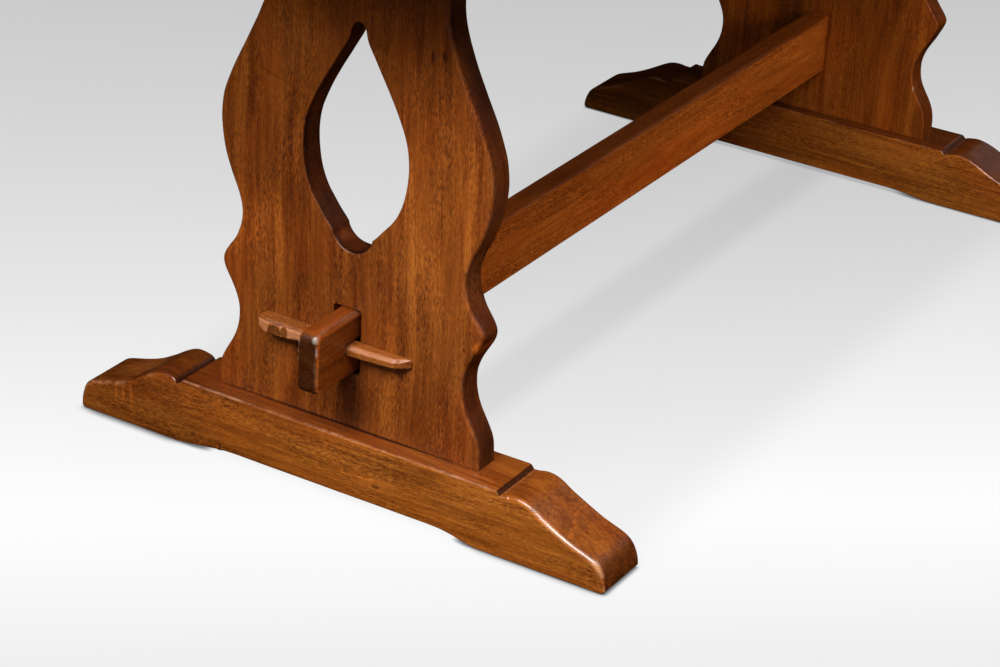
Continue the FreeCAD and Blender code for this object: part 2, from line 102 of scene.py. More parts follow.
CUT_UP = [(24.0, 278.0), (26.9, 281.0), (30.0, 284.5), (33.0, 288.2), (36.3, 292.0),
          (39.7, 295.8), (43.4, 300.0), (47.0, 305.0), (49.5, 309.0), (51.6, 313.0),
          (54.2, 319.0), (56.6, 326.0), (58.4, 333.0), (59.7, 340.0), (60.8, 348.0),
          (61.3, 356.0), (61.4, 363.0), (60.9, 371.0), (60.0, 378.0), (58.8, 384.0),
          (57.1, 390.0), (54.5, 397.0), (51.5, 404.0), (48.4, 411.0), (44.5, 419.0),
          (40.2, 427.0), (35.2, 436.0), (30.5, 444.0), (25.8, 452.0), (21.2, 460.0),
          (17.1, 467.0), (13.6, 473.0), (11.8, 477.0), (10.7, 480.5), (9.9, 484.0),
          (9.2, 487.0), (8.0, 489.5), (6.2, 491.6), (3.7, 493.0), (1.8, 493.6)]
CUT_DOWN = [(-0.1, 493.0), (-2.7, 491.6), (-4.6, 489.5), (-5.8, 487.0), (-6.6, 484.0),
            (-7.3, 480.5), (-8.4, 477.0), (-10.0, 473.0), (-13.5, 467.0), (-17.6, 460.0),
            (-22.2, 452.0), (-26.9, 444.0), (-31.6, 436.0), (-36.6, 427.0), (-40.9, 419.0),
            (-44.8, 411.0), (-47.9, 404.0), (-50.9, 397.0), (-53.6, 390.0), (-55.3, 384.0),
            (-56.5, 378.0), (-57.4, 371.0), (-57.8, 363.0), (-57.7, 356.0), (-57.2, 348.0),
            (-56.1, 340.0), (-54.8, 333.0), (-53.0, 326.0), (-50.6, 319.0), (-48.0, 313.0),
            (-45.9, 309.0), (-43.4, 305.0), (-40.0, 300.4), (-36.3, 295.4), (-32.6, 290.6),
            (-29.2, 286.5), (-26.0, 282.9), (-23.4, 279.8), (-21.6, 276.9), (-20.4, 273.9)]
LOBE = [(-20.4, 273.9), (-17.8, 269.6), (-14.4, 265.9), (-10.2, 262.9), (-4.4, 260.6),
        (2.0, 259.7), (7.6, 260.2), (13.6, 262.7), (18.7, 266.8), (22.2, 272.0), (24.0, 278.0)]


# ------------------------------------------------------------------ outline helpers
def smooth_run(pts, step):
    """Points about `step` apart along a smooth curve through pts."""
    p = [Vector(q) for q in pts]
    p = [p[0] * 2 - p[1]] + p + [p[-1] * 2 - p[-2]]
    out = []
    for a, b, c, d in zip(p, p[1:], p[2:], p[3:]):
        n = max(1, int(math.ceil((c - b).length / step)))
        for i in range(n):
            t = i / n
            out.append(0.5 * ((2 * b) + (c - a) * t + (2 * a - 5 * b + 4 * c - d) * t * t
                              + (3 * b - a - 3 * c + d) * t ** 3))
    out.append(p[-2].copy())
    return [(v.x, v.y) for v in out]


def straight_run(pts, step):
    out = []
    for a, b in zip(pts, pts[1:]):
        a, b = Vector(a), Vector(b)
        n = max(1, int(math.ceil((b - a).length / step)))
        out += [tuple(a.lerp(b, i / n)) for i in range(n)]
    out.append(tuple(pts[-1]))
    return out


def arc_run(centre, radius, a0, a1, step):
    n = max(3, int(math.ceil(abs(math.radians(a1 - a0)) * radius / step)))
    return [(centre[0] + radius * math.cos(math.radians(a0 + (a1 - a0) * i / n)),
             centre[1] + radius * math.sin(math.radians(a0 + (a1 - a0) * i / n))) for i in range(n + 1)]


def chain(*runs):
    """Joins runs into one closed outline, dropping repeated points."""
    out = []
    for run in runs:
        for q in run:
            if not out or (Vector(q) - Vector(out[-1])).length > 0.05:
                out.append(q)
    if (Vector(out[0]) - Vector(out[-1])).length < 0.05:
        out.pop()
    return out


def rounded_box_outline(a0, a1, b0, b1, radii, step=1.0):
    """Outline in (a, b), counter-clockwise from the lower left, each corner with its own radius."""
    r0, r1, r2, r3 = radii
    runs = [arc_run((a0 + r0, b0 + r0), r0, 180, 270, 0.35), arc_run((a1 - r1, b0 + r1), r1, 270, 360, 0.35),
            arc_run((a1 - r2, b1 - r2), r2, 0, 90, 0.35), arc_run((a0 + r3, b1 - r3), r3, 90, 180, 0.35)]
    full = []
    for i, run in enumerate(runs):
        nxt = runs[(i + 1) % 4]
        full.append(run)
        full.append(straight_run([run[-1], nxt[0]], step))
    return chain(*full)


def inward(pts):
    """Mitred normals, to the left of the direction of travel."""
    p = np.array(pts, float)
    d = np.roll(p, -1, 0) - p
    d /= np.linalg.norm(d, axis=1)[:, None]
    n = np.c_[-d[:, 1], d[:, 0]]
    before = np.roll(n, 1, 0)
    m = n + before
    k = 1.0 / np.clip(1.0 + (n * before).sum(1), 0.45, None)
    return m * k[:, None]


def hand(p, scale, seed):
    """Slow unevenness between -1 and 1, the same every run."""
    return noise.noise(Vector((p[0] * scale + seed * 7.3, p[1] * scale - seed * 3.1, seed * 1.7)))


AXES = {"x": lambda a, b, t: (t, a, b),      # outline in (y, z), pushed along x
        "y": lambda a, b, t: (b, t, a)}      # outline in (z, x), pushed along y


def prism(loops, lo, hi, axis, seg=6, sides=3):
    """A solid pushed from an outline (and holes) with worn, rounded arrises.
    Each loop is (points, radius at lo, radius at hi[, points at hi]), the radii being functions of a point.
    Returns vertices (mm), faces and the wear weight of each vertex."""
    place = AXES[axis]
    verts, faces, wear = [], [], []
    caps = {0: [], 1: []}
    for loop in loops:
        pts_lo = loop[0]
        pts_hi = loop[3] if len(loop) > 3 else loop[0]
        n = len(pts_lo)
        nl, nh = inward(pts_lo), inward(pts_hi)
        rl = np.array([loop[1](p) for p in pts_lo])
        rh = np.array([loop[2](p) for p in pts_hi])
        pl, ph = np.array(pts_lo, float), np.array(pts_hi, float)
        rings = []
        flat = 0.5
        rings.append((pl + nl * (rl + flat)[:, None], np.full(n, lo), 0.0))
        for k in range(seg + 1):
            th = math.pi / 2 * (1 - k / seg)
            rings.append((pl + nl * (rl * (1 - math.cos(th)))[:, None], lo + rl * (1 - math.sin(th)), math.sin(2 * th)))
        for s in range(1, sides):
            f = s / sides
            rings.append((pl * (1 - f) + ph * f, (lo + rl) * (1 - f) + (hi - rh) * f, 0.0))
        for k in range(seg + 1):
            th = math.pi / 2 * k / seg
            rings.append((ph + nh * (rh * (1 - math.cos(th)))[:, None], hi - rh * (1 - math.sin(th)), math.sin(2 * th)))
        rings.append((ph + nh * (rh + flat)[:, None], np.full(n, hi), 0.0))
        base = len(verts)
        for q, t, w in rings:
            for (a, b), tt in zip(q, t):
                verts.append(place(a, b, tt))
                wear.append(w)
        for k in range(len(rings) - 1):
            for i in range(n):
                j = (i + 1) % n
                faces.append((base + k * n + i, base + k * n + j, base + (k + 1) * n + j, base + (k + 1) * n + i))
        caps[0].append((rings[0][0], [base + i for i in range(n)]))
        last = base + (len(rings) - 1) * n
        caps[1].append((rings[-1][0], [last + i for i in range(n)]))
    for side in (0, 1):
        polys = [[Vector((a, b, 0)) for a, b in q] for q, _ in caps[side]]
        idx = [i for _, ids in caps[side] for i in ids]
        flatp = [v for poly in polys for v in poly]
        for tri in tessellate_polygon(polys):
            a, b, c = (flatp[i] for i in tri)
            up = (b - a).cross(c - a).z
            if abs(up) < 1e-9:
                continue
            t = [idx[i] for i in tri]
            if (up > 0) != (side == 1):
                t.reverse()
            faces.append(tuple(t))
    return verts, faces, wear


def merge(*parts):
    verts, faces, wear = [], [], []
    for v, f, w in parts:
        o = len(verts)
        verts += list(v)
        faces += [tuple(i + o for i in face) for face in f]
        wear += list(w)
    return verts, faces, wear


def half_turn(part):
    v, f, w = part
    return [(-x, -y, z) for x, y, z in v], list(f), list(w)


def block(x0, x1, y0, y1, z0, z1):
    v = [(x, y, z) for z in (z0, z1) for y in (y0, y1) for x in (x0, x1)]
    f = [(0, 2, 3, 1), (4, 5, 7, 6), (0, 1, 5, 4), (2, 6, 7, 3), (0, 4, 6, 2), (1, 3, 7, 5)]
    return v, f, [0.0] * 8


def make_object(name, part, material, angle=32, shade=None):
    """shade(x, y, z) in mm: below 0 for darker places (painted shade in the notches, on the top of the rail and on the
    cheeks of the tenons, and the darker knife cuts of the keys), above 0 for paler places (pale facets of the keys and
    a painted highlight on a key's chamfer).
    """
    verts, faces, wear = part
    me = bpy.data.meshes.new(name)
    me.from_pydata([(x * MM, y * MM, z * MM) for x, y, z in verts], [], faces)
    att = me.attributes.new("wear", "FLOAT", "POINT")
    att.data.foreach_set("value", wear)
    if shade:
        att = me.attributes.new("shade", "FLOAT", "POINT")
        att.data.foreach_set("value", [shade(*v) for v in verts])
    me.validate()
    me.update()
    ob = bpy.data.objects.new(name, me)
    scene.collection.objects.link(ob)
    me.materials.append(material)
    me.shade_smooth()
    me.set_sharp_from_angle(angle=math.radians(angle))
    return ob


# ------------------------------------------------------------------ wood
def wood(name, along, seed, tones, ribbon=1.0, band=1.0, fleck=1.0, rough=0.32, spec=0.40, end_tone=(0.45, 0.42, 0.45),
         side=None, side_tone=None, up_painted_shade=None, wear_and_glint=0.5, fade=None, marks=(), glints_and_chips=()):
    """Waxed hardwood with interlocked grain. `along` is the axis that the fibres follow.
    side / side_tone: faces not looking along `side` (the sawn edges) are coloured darker and shine less;
    up_painted_shade:
    painted shade, a darker colour for faces looking up; fade: (y full, y end, tone) darkening towards one end; marks:
    knots, streaks and scratches, and patches of painted light and shade, as (centre, half size, tilt in the y-z plane,
    tone, strength), mm and degrees; chips: pale spots as (centre, half size, strength), painted highlights and a pale
    nick."""
    m = bpy.data.materials.new(name)
    m.use_nodes = True
    nt = m.node_tree
    N, L = nt.nodes, nt.links
    N.clear()

    def node(kind, **kw):
        n = N.new(kind)
        for k, v in kw.items():
            setattr(n, k, v)
        return n

    def put_in(sock, q):
        if isinstance(q, (int, float)):
            sock.default_value = q
        elif isinstance(q, tuple):
            sock.default_value = q + (1.0,) if len(q) == 3 and sock.type == "RGBA" else q
        else:
            L.new(q, sock)

    def calc(op, a, b=None, clamp=False):
        n = node("ShaderNodeMath", operation=op, use_clamp=clamp)
        put_in(n.inputs[0], a)
        if b is not None:
            put_in(n.inputs[1], b)
        return n.outputs[0]

    def remap(x, a, b, c=0.0, d=1.0):
        n = node("ShaderNodeMapRange", interpolation_type="SMOOTHSTEP")
        L.new(x, n.inputs[0])
        for i, q in enumerate((a, b, c, d)):
            n.inputs[i + 1].default_value = q
        return n.outputs[0]

    def mix(fac, a, b, blend="MIX"):
        n = node("ShaderNodeMix", data_type="RGBA", blend_type=blend)
        n.clamp_factor = True
        put_in(n.inputs[0], fac)
        put_in(n.inputs[6], a)
        put_in(n.inputs[7], b)
        return n.outputs[2]

    def tint(fac, col, by):
        return mix(fac, col, mix(1.0, col, by, "MULTIPLY"))

    coord = node("ShaderNodeTexCoord")
    sep = node("ShaderNodeSeparateXYZ")
    L.new(coord.outputs["Object"], sep.inputs[0])
    nsep = node("ShaderNodeSeparateXYZ")
    L.new(coord.outputs["Normal"], nsep.inputs[0])
    order = {"z": ("Y", "X", "Z"), "y": ("Z", "X", "Y"), "x": ("Z", "Y", "X")}[along]
    comb = node("ShaderNodeCombineXYZ")
    for i, k in enumerate(order):
        L.new(sep.outputs[k], comb.inputs[i])
    base = node("ShaderNodeVectorMath", operation="ADD")
    L.new(comb.outputs[0], base.inputs[0])
    base.inputs[1].default_value = (seed * 0.731, seed * 1.37, seed * 0.519)
    base = base.outputs[0]

    def tex(scale, detail=2.0, roughness=0.5, vec=None, colour=False):
        mp = node("ShaderNodeVectorMath", operation="MULTIPLY")
        L.new(vec or base, mp.inputs[0])
        mp.inputs[1].default_value = scale
        t = node("ShaderNodeTexNoise", noise_dimensions="3D")
        L.new(mp.outputs[0], t.inputs["Vector"])
        t.inputs["Scale"].default_value = 1.0
        t.inputs["Detail"].default_value = detail
        t.inputs["Roughness"].default_value = roughness
        return t.outputs["Color" if colour else 0]

    def warp(vec, scale, amount):
        a = node("ShaderNodeVectorMath", operation="SUBTRACT")
        L.new(tex(scale, 1.0, vec=vec, colour=True), a.inputs[0])
        a.inputs[1].default_value = (0.5, 0.5, 0.5)
        b = node("ShaderNodeVectorMath", operation="MULTIPLY_ADD")
        L.new(a.outputs[0], b.inputs[0])
        b.inputs[1].default_value = (amount, amount, 0.0)
        L.new(vec, b.inputs[2])
        return b.outputs[0]

    # the fibres wander along the board, and weave in and out
    P = warp(base, (4.5, 4.5, 2.6), 0.030)
    Q = warp(P, (70.0, 70.0, 24.0), 0.0022)
    n_ribbon = tex((62.0, 45.0, 4.2), 2.0, 0.55, P)
    n_streak = tex((105.0, 80.0, 4.6), 2.0, 0.6, P)
    n_band = tex((250.0, 200.0, 17.0), 2.0, 0.6, P)
    n_line = tex((520.0, 400.0, 8.0), 1.0, 0.5, P)
    n_fleck = tex((820.0, 760.0, 185.0), 2.5, 0.62, Q)
    n_pore = tex((900.0, 840.0, 150.0), 1.5, 0.5, Q)
    n_broad = tex((7.0, 7.0, 3.2), 2.0)
    n_mottle = tex((52.0, 52.0, 24.0), 3.0, 0.6)
    # the flecks come and go in patches
    lively = remap(tex((34.0, 30.0, 8.0), 2.0, 0.6, P), 0.36, 0.64, 0.45, 1.25)
    if up_painted_shade:
        lively = calc("MULTIPLY", lively, remap(nsep.outputs["Z"], 0.35, 0.85, 1.0, 0.5))

    def part(x, gain):
        return calc("MULTIPLY", calc("SUBTRACT", x, 0.5), gain)

    tone = calc("ADD", part(n_ribbon, 0.95 * ribbon), part(n_band, 0.62 * band))
    tone = calc("ADD", tone, calc("MULTIPLY", part(n_fleck, 1.95 * fleck), lively))
    tone = calc("ADD", tone, part(n_line, 0.34 * band))
    tone = calc("ADD", tone, part(n_broad, 0.45))
    tone = calc("ADD", tone, part(n_mottle, 0.26))
    tone = calc("ADD", tone, 0.5, clamp=True)
    ramp = node("ShaderNodeValToRGB")
    ramp.color_ramp.interpolation = "LINEAR"
    els = ramp.color_ramp.elements
    els[0].position, els[0].color = 0.05, tones[0] + (1,)
    els[1].position, els[1].color = 0.95, tones[2] + (1,)
    els.new(0.5).color = tones[1] + (1,)
    L.new(tone, ramp.inputs[0])
    col = ramp.outputs[0]

    # dark red-brown streaks and redder passages
    col = tint(calc("MULTIPLY", remap(n_streak, 0.52, 0.66), 0.72 * ribbon), col, (0.60, 0.50, 0.44))
    col = tint(remap(tex((13.0, 10.0, 3.0), 2.0), 0.42, 0.68, 0.0, 0.8), col, (1.10, 0.86, 0.72))
    # open pores: short dark dashes along the grain
    dash = calc("MULTIPLY", remap(n_pore, 0.52, 0.66), lively)
    col = tint(calc("MULTIPLY", dash, 0.52 * fleck), col, (0.40, 0.36, 0.32))

    def within(centre, half, tilt=0):
        """1 inside an ellipsoid, easing to 0 at its surface."""
        at = node("ShaderNodeVectorMath", operation="SUBTRACT")
        L.new(coord.outputs["Object"], at.inputs[0])
        at.inputs[1].default_value = [q * MM for q in centre]
        at = at.outputs[0]
        if tilt:
            turn = node("ShaderNodeVectorRotate", rotation_type="X_AXIS")
            L.new(at, turn.inputs["Vector"])
            turn.inputs["Angle"].default_value = math.radians(-tilt)
            at = turn.outputs[0]
        unit = node("ShaderNodeVectorMath", operation="DIVIDE")
        L.new(at, unit.inputs[0])
        unit.inputs[1].default_value = [q * MM for q in half]
        far = node("ShaderNodeVectorMath", operation="LENGTH")
        L.new(unit.outputs[0], far.inputs[0])
        return remap(far.outputs["Value"], 1.0, 0.35)

    for centre, half, tilt, tone_by, k in marks:
        col = tint(calc("MULTIPLY", within(centre, half, tilt), k), col, tone_by)
    if fade:
        col = tint(remap(sep.outputs["Y"], fade[0] * MM, fade[1] * MM), col, fade[2])

    sawn = None
    if side_tone:
        facing = calc("ABSOLUTE", nsep.outputs[side.upper()])
        col = tint(remap(facing, 0.93, 0.35), col, side_tone)
        sawn = remap(facing, 0.985, 0.70)
    # painted shade: faces looking up are darkened
    if up_painted_shade:
        col = tint(remap(nsep.outputs["Z"], 0.35, 0.85), col, up_painted_shade)
    # end grain drinks the finish and goes dark
    endg = remap(calc("ABSOLUTE", nsep.outputs[along.upper()]), 0.40, 0.92)
    speck = tex((800.0, 800.0, 800.0), 2.0, 0.6)
    col = tint(endg, col, end_tone)
    col = tint(calc("MULTIPLY", endg, remap(speck, 0.52, 0.68)), col, (0.55, 0.5, 0.5))

    # rubbed arrises are paler, in broken lengths: partly wear, partly a painted highlight along the middle of the arris
    att = node("ShaderNodeAttribute", attribute_name="wear")
    edge = calc("POWER", att.outputs["Fac"], 2.0)
    rub_and_glint = calc("MULTIPLY", edge, remap(tex((38.0, 38.0, 30.0), 3.0, 0.65), 0.44, 0.66))
    col = mix(calc("MULTIPLY", rub_and_glint, 0.42 * wear_and_glint), col, (0.48, 0.25, 0.14))
    # the shade attribute: painted shade below 0 (notches, rail top, tenon cheeks) and the darker knife cuts; paler
    # places above 0, with a painted highlight on a key's chamfer
    painted_shade_and_pale = node("ShaderNodeAttribute", attribute_name="shade")
    patchy = remap(tex((150.0, 150.0, 90.0), 3.0, 0.6), 0.30, 0.62, 0.55, 1.0)
    col = tint(calc("MULTIPLY", painted_shade_and_pale.outputs["Fac"], -1.0, clamp=True), col, (0.26, 0.25, 0.27))
    col = mix(calc("MULTIPLY", calc("MULTIPLY", painted_shade_and_pale.outputs["Fac"], 1.0, clamp=True), patchy), col, (0.66, 0.29, 0.14))
    # pale spots: painted highlights on the worn corners of the tenon's end, and a pale spot at a nick
    for centre, half, k in glints_and_chips:
        col = mix(calc("MULTIPLY", within(centre, half), k), col, (0.78, 0.70, 0.62))

    bsdf = node("ShaderNodeBsdfPrincipled")
    out = node("ShaderNodeOutputMaterial")
    L.new(bsdf.outputs[0], out.inputs[0])
    L.new(col, bsdf.inputs["Base Color"])
    r = calc("ADD", rough - 0.10, calc("MULTIPLY", tex((30.0, 30.0, 18.0), 3.0, 0.6), 0.20))
    r = calc("ADD", r, calc("MULTIPLY", dash, 0.10))
    if sawn:
        r = calc("ADD", r, calc("MULTIPLY", sawn, 0.16))
    r = calc("SUBTRACT", r, calc("MULTIPLY", edge, 0.04), clamp=True)
    L.new(r, bsdf.inputs["Roughness"])
    if sawn:
        L.new(calc("SUBTRACT", spec, calc("MULTIPLY", sawn, spec * 0.65)), bsdf.inputs["Specular IOR Level"])
    else:
        bsdf.inputs["Specular IOR Level"].default_value = spec

    height = calc("SUBTRACT", calc("MULTIPLY", n_fleck, 0.45), calc("MULTIPLY", dash, 0.5))
    height = calc("ADD", height, calc("MULTIPLY", tex((48.0, 48.0, 26.0), 2.0), 1.6))
    bump = node("ShaderNodeBump")
    bump.inputs["Strength"].default_value = 0.28
    bump.inputs["Distance"].default_value = 0.0004
    L.new(height, bump.inputs["Height"])
    L.new(bump.outputs[0], bsdf.inputs["Normal"])
    return m


#         dark                     middle                   light
GOLD = ((0.078, 0.0168, 0.0016), (0.184, 0.0455, 0.0050), (0.315, 0.0920, 0.0122))
# painted light: the panel colours made lighter for the far panel
PALE_PAINTED_LIGHT = ((0.105, 0.0230, 0.0020), (0.248, 0.0600, 0.0060), (0.410, 0.1180, 0.0140))
FOOT = ((0.112, 0.0272, 0.0026), (0.258, 0.0740, 0.0086), (0.435, 0.1430, 0.0202))
RED = ((0.095, 0.0195, 0.0018), (0.215, 0.0470, 0.0048), (0.350, 0.0920, 0.0110))
RAIL = ((0.138, 0.0280, 0.0025), (0.312, 0.0675, 0.0067), (0.508, 0.1330, 0.0158))
KEY = ((0.130, 0.0350, 0.0052), (0.245, 0.0700, 0.0108), (0.360, 0.1210, 0.0225))
EDGE = (0.40, 0.34, 0.30)
# painted shade for faces looking up
UP_PAINTED_SHADE = (0.56, 0.48, 0.41)
KNOT = (0.30, 0.22, 0.18)
PALER = (1.9, 1.9, 1.9)
SEAM = ((528.9, 0.0, 72.0), (2.4, 190.0, 2.2), 0, (0.22, 0.20, 0.20), 1.0)
wood_panel_near = wood("wood_panel_near", "z", 1.0, GOLD, side="x", side_tone=EDGE, wear_and_glint=0.15, marks=(
    SEAM, ((528.5, 96.0, 483.0), (9, 3.4, 6.4), 0, KNOT, 1.0), ((528.5, 83.2, 479.0), (9, 2.6, 11.0), 0, KNOT, 0.95),
    ((528.5, -94.5, 419.0), (9, 33.5, 1.2), -15.1, (0.50, 0.42, 0.40), 0.8), ((528.5, -70.0, 405.0), (9, 7.0, 7.0), 0, (0.72, 0.60, 0.52), 0.7),
    # painted light and shade, to follow how the light falls across the face: the left bulge darkened, the right half
    # and the lower left lightened
    ((528.5, -118.0, 342.0), (50, 62, 88), 0, (0.72, 0.70, 0.66), 0.9), ((528.5, 98.0, 350.0), (50, 88, 190), 0, (1.60, 1.66, 1.70), 0.9),
    ((528.5, -92.0, 250.0), (50, 60, 62), 0, (1.34, 1.30, 1.28), 0.9),
    # painted shadow of the tenon below it, the lower right darkened as painted shade, and painted light on the walls of
    # the cut-out where little light reaches
    ((528.5, 0.0, 96.0), (50, 46, 56), 0, (0.60, 0.54, 0.52), 1.0), ((528.5, 105.0, 110.0), (50, 60, 60), 0, (0.80, 0.74, 0.72), 0.9), ((513.0, -8.0, 266.0), (17, 24, 15), 0, (2.8, 2.5, 1.3), 1.0),
    ((513.0, -52.0, 350.0), (17, 16, 120), 0, (1.8, 1.7, 1.4), 1.0),
    # painted light in the mortise and on the lower slope of the pointed bump; painted shade along the top of the face,
    # under the table top, and down the right edge
    ((514.0, -17.6, 197.0), (14, 4.5, 8), 0, (5.0, 4.6, 4.0), 1.0), ((516.0, 146.0, 200.0), (19, 8.5, 15), 0, (3.8, 3.6, 3.0), 1.0), ((528.5, 24.0, 505.0), (50, 118, 48), 0, (0.70, 0.62, 0.48), 0.9),
    ((507.0, 128.0, 450.0), (21.0, 36, 75), 0, (0.58, 0.58, 0.60), 1.0),
    ((508.0, 150.0, 112.0), (20.5, 27, 62), 0, (0.70, 0.70, 0.62), 1.0)))
# painted light: the far panel takes the lighter colours and a lightened left part; the pale spot sits at a nick
wood_panel_far = wood("wood_panel_far", "z", 4.0, PALE_PAINTED_LIGHT, fleck=0.8, side="x", side_tone=EDGE, wear_and_glint=0.1, marks=(((-499.5, -95.0, 165.0), (30, 62, 85), 0, (1.55, 1.50, 1.40), 1.0),),
                      glints_and_chips=(((-500.5, 134.0, 134.0), (3.0, 1.6, 4.0), 0.25),))
# painted shade on the faces looking up
wood_foot_near = wood("wood_foot_near", "y", 2.0, FOOT, ribbon=0.8, band=1.5, end_tone=(0.40, 0.33, 0.32), up_painted_shade=UP_PAINTED_SHADE, wear_and_glint=1.1,
                      fade=(-20.0, -250.0, (0.64, 0.60, 0.56)), marks=(
    SEAM, ((549.5, 51.0, 29.0), (9, 8.0, 2.6), 6, KNOT, 0.8), ((549.5, 36.0, 17.0), (9, 6.0, 2.2), 0, KNOT, 0.5),
    ((549.5, 35.0, 34.0), (9, 68.0, 1.3), 5.7, PALER, 0.6),
    ((549.5, -268.6, 31.5), (9, 2.8, 14.0), 0, PALER, 0.50), ((549.5, -259.5, 34.0), (9, 2.6, 14.0), 0, PALER, 0.60),
    # painted sheen: the last mark below lightens the top of the left toe and turns it bluish, like a reflection
    ((549.5, -249.2, 33.0), (9, 3.0, 20.0), 0, PALER, 0.68), ((507.0, -264.0, 50.0), (43, 48, 19), 0, (1.8, 2.1, 3.6), 1.0),
    # a pale wavering line of figure across the toe
    ((494.0, 252.5, 50.7), (12, 1.9, 8), 0, PALER, 0.45), ((508.0, 253.5, 50.2), (11, 2.1, 8), 0, PALER, 0.45),
    ((518.5, 257.7, 48.0), (7, 3.4, 8), 0, PALER, 0.45), ((528.0, 261.5, 46.2), (9, 2.1, 8), 0, PALER, 0.45),
    ((538.0, 265.5, 44.3), (7, 3.4, 8), 0, PALER, 0.40)))
# painted shade: the top of the far foot is made much darker and its left end fades darker
wood_foot_far = wood("wood_foot_far", "y", 5.0, FOOT, ribbon=0.8, band=1.5, end_tone=(0.40, 0.33, 0.32), up_painted_shade=(0.26, 0.21, 0.20), wear_and_glint=0.5,
                     fade=(-60.0, -260.0, (0.5, 0.48, 0.46)))
# painted shade on the faces looking up, under the table top; the pale spots on the tenon's end are painted highlights
wood_stretcher = wood("wood_stretcher", "x", 3.0, RAIL, ribbon=0.7, end_tone=(0.15, 0.17, 0.25), up_painted_shade=(0.60, 0.58, 0.54), wear_and_glint=0.5, spec=0.24, glints_and_chips=(
    ((596.0, -11.8, 189.0), (4, 1.6, 5.0), 0.75), ((596.0, -11.9, 178.5), (4, 1.4, 2.6), 0.75), ((596.0, -11.9, 170.5), (4, 1.3, 3.6), 0.65),
    ((596.0, -12.0, 160.0), (4, 1.2, 3.0), 0.6), ((594.8, 7.2, 193.6), (4.4, 4.4, 4.6), 0.20), ((596.0, 9.2, 182.0), (3, 1.3, 8.0), 0.17)))
wood_key_near = wood("wood_key_near", "y", 6.0, KEY, ribbon=0.5, rough=0.42, spec=0.22, wear_and_glint=1.0, end_tone=(0.7, 0.62, 0.6))
wood_key_far = wood("wood_key_far", "y", 7.0, KEY, ribbon=0.5, rough=0.42, spec=0.22, wear_and_glint=1.0, end_tone=(0.7, 0.62, 0.6))


# ------------------------------------------------------------------ feet
def foot_part(plus, minus, flats, arch_p, arch_m, kerf):
    toe_p, toe_m = plus, [(-y, z) for y, z in minus]
    fm, fp = flats
    tm, tp = -toe_m[-1][0], toe_p[-1][0]
    am = [(-y, z) for y, z in arch_m]

    def dip(flat, s, first):
        """From the flat top outwards and down into the notch."""
        return [(s * (flat - 1.5), FOOT_TOP), (s * (flat + 0.4), FOOT_TOP - 0.6), (first[0] - s * 0.8, first[1] + 1.0), first]
    out = chain(
        straight_run([(fp - 1.5, FOOT_TOP), (-fm + 1.5, FOOT_TOP)], 3.0),
        straight_run(dip(fm, -1, toe_m[0]), 0.6),
        smooth_run(toe_m, 0.8),
        smooth_run([toe_m[-1], (0.7 - tm, 2.6), (2.6 - tm, 0.7), (6.0 - tm, 0.0)], 0.8),
        straight_run([(6.0 - tm, 0.0), am[0]], 3.0),
        smooth_run(am[:7], 1.6),
        # a saw kerf that ran a little past the line
        chain(straight_run([am[6], (-137.6, 7.0)], 1.0), [(-137.5, 13.4), (-136.7, 13.2)], straight_run([(-136.5, 7.15), am[7]], 1.2))
        if kerf else straight_run([am[6], am[7]], 1.2),
        straight_run([am[7], am[8], arch_p[-1]], 3.0),
        smooth_run(list(reversed(arch_p)), 1.6),
        straight_run([arch_p[0], (tp - 6.0, 0.0)], 3.0),
        smooth_run([(tp - 6.0, 0.0), (tp - 2.6, 0.7), (tp - 0.7, 2.6), toe_p[-1]], 0.8),
        smooth_run(list(reversed(toe_p)), 0.8),
        straight_run(dip(fp, 1, toe_p[0])[::-1], 0.6),
    )

    def radius(p, seed, top):
        y, z = p
        r = top * (1 + 0.30 * hand(p, 0.03, seed)) * (1.6 if abs(y) > 191 else 1.0)
        r = 1.6 + (r - 1.6) * min(1.0, max(0.0, (z - 4.0) / 16.0))
        if abs(abs(y) - 191) < 9:
            r = min(r, 0.4 + 0.38 * abs(abs(y) - 191))
        if kerf and abs(y + 137.1) < 2.5 and z < 15:
            r = 0.25
        return r
    return prism([(out, lambda p: radius(p, 3, 2.0), lambda p: radius(p, 8, 3.2))], FOOT_IN, FOOT_OUT, "x", seg=6)


def notch_painted_shade(near, far, minus=-0.9, plus=-0.5):
    """Painted shade in the notch, on the flat's side and on the rising wall of the toe, and a pale line along its
    floor; near and far are (flat end, toe start).
    """
    def shade(x, y, z):
        flat, first = near if y < 0 else far
        d = abs(y)
        if min(abs(abs(x) - FOOT_OUT), abs(abs(x) - FOOT_IN)) < 0.05:
            return 0.0
        if 55.0 < z < FOOT_TOP - 0.3 and flat - 0.2 < d < first + 0.2:
            return plus if y > 0 else minus
        if y < 0 and z > 55.0 and first + 0.2 <= d < first + 3.4:
            return minus * (1 - (d - first) / 3.4)
        if first + 0.2 <= d < first + 1.5 and z > 55.0 and y > 0:
            return 0.18
        return 0.0
    return shade


